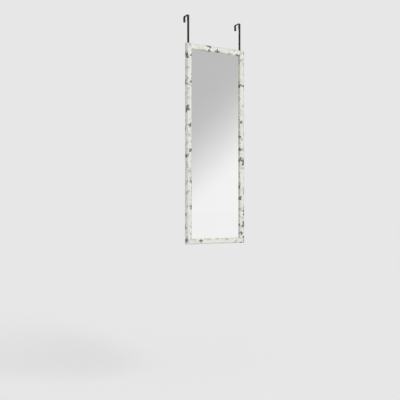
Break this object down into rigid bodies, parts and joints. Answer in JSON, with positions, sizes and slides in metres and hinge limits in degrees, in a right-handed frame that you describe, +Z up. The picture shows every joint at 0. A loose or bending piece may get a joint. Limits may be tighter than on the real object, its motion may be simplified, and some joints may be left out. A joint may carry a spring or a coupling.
{
  "type": "over-the-door mirror",
  "caption": "Tall framed mirror in a printed moulding that hangs over a door's top edge from two flat steel hook straps, with a height setting and turn buttons at the back.",
  "frame": {"origin": "midway between the two hooks, at the height of the door's top edge and in the plane of the door's front face", "axes": "+Z up; -Y out of the front of the glass, so +Y goes into the door; +X to the right of someone looking into the mirror"},
  "size_m": [0.36, 0.068, 1.2265],
  "materials": {
    "printed_moulding": "satin printed foil on fibreboard",
    "silvered_glass": "polished",
    "packing_card": "matt",
    "hardboard": "matt hardboard",
    "black_steel": "satin black powder coat",
    "foam": "closed-cell foam",
    "bumper_rubber": "matt rubber",
    "zinc_plate": "bright zinc plate",
    "bright_steel": "bright steel"
  },
  "bodies": {
    "left_hanger": {"left_strap": "black_steel", "left_front_pad": "foam", "left_tip_pad": "foam"},
    "frame": {"top_rail": "printed_moulding", "bottom_rail": "printed_moulding", "left_stile": "printed_moulding", "right_stile": "printed_moulding", "corner_nails": "bright_steel", "mirror_glass": "silvered_glass", "packing_sheet": "packing_card", "backing_board": "hardboard", "strap_washers": "zinc_plate", "strap_screws": "zinc_plate", "left_bumper": "bumper_rubber", "right_bumper": "bumper_rubber", "button_screws": "zinc_plate"},
    "right_hanger": {"right_strap": "black_steel", "right_front_pad": "foam", "right_tip_pad": "foam"},
    "left_upper_button": {"left_upper_button": "zinc_plate"},
    "left_middle_button": {"left_middle_button": "zinc_plate"},
    "left_lower_button": {"left_lower_button": "zinc_plate"},
    "right_upper_button": {"right_upper_button": "zinc_plate"},
    "right_middle_button": {"right_middle_button": "zinc_plate"},
    "right_lower_button": {"right_lower_button": "zinc_plate"},
    "top_button": {"top_button": "zinc_plate"},
    "bottom_button": {"bottom_button": "zinc_plate"}
  },
  "joints": [
    {"name": "height_setting", "type": "slide", "parent": "left_hanger", "child": "frame", "axis": [0, 0, 1], "range_m": [-0.02, 0.02]},
    {"name": "right_strap_setting", "type": "slide", "parent": "frame", "child": "right_hanger", "axis": [0, 0, 1], "range_m": [-0.02, 0.02]},
    {"name": "left_upper_button_turn", "type": "hinge", "parent": "frame", "child": "left_upper_button", "pos_m": [-0.165, -0.0039, -0.3195], "axis": [0, 1, 0], "range_deg": [-90, 90]},
    {"name": "left_middle_button_turn", "type": "hinge", "parent": "frame", "child": "left_middle_button", "pos_m": [-0.165, -0.0039, -0.69], "axis": [0, 1, 0], "range_deg": [-90, 90]},
    {"name": "left_lower_button_turn", "type": "hinge", "parent": "frame", "child": "left_lower_button", "pos_m": [-0.165, -0.0039, -1.0605], "axis": [0, 1, 0], "range_deg": [-90, 90]},
    {"name": "right_upper_button_turn", "type": "hinge", "parent": "frame", "child": "right_upper_button", "pos_m": [0.165, -0.0039, -0.3195], "axis": [0, 1, 0], "range_deg": [-90, 90]},
    {"name": "right_middle_button_turn", "type": "hinge", "parent": "frame", "child": "right_middle_button", "pos_m": [0.165, -0.0039, -0.69], "axis": [0, 1, 0], "range_deg": [-90, 90]},
    {"name": "right_lower_button_turn", "type": "hinge", "parent": "frame", "child": "right_lower_button", "pos_m": [0.165, -0.0039, -1.0605], "axis": [0, 1, 0], "range_deg": [-90, 90]},
    {"name": "top_button_turn", "type": "hinge", "parent": "frame", "child": "top_button", "pos_m": [0, -0.0039, -0.17], "axis": [0, 1, 0], "range_deg": [-90, 90]},
    {"name": "bottom_button_turn", "type": "hinge", "parent": "frame", "child": "bottom_button", "pos_m": [0, -0.0039, -1.21], "axis": [0, 1, 0], "range_deg": [-90, 90]}
  ],
  "couplings": [
    {"joint": "right_strap_setting", "follows": "height_setting", "ratio": -1}
  ]
}
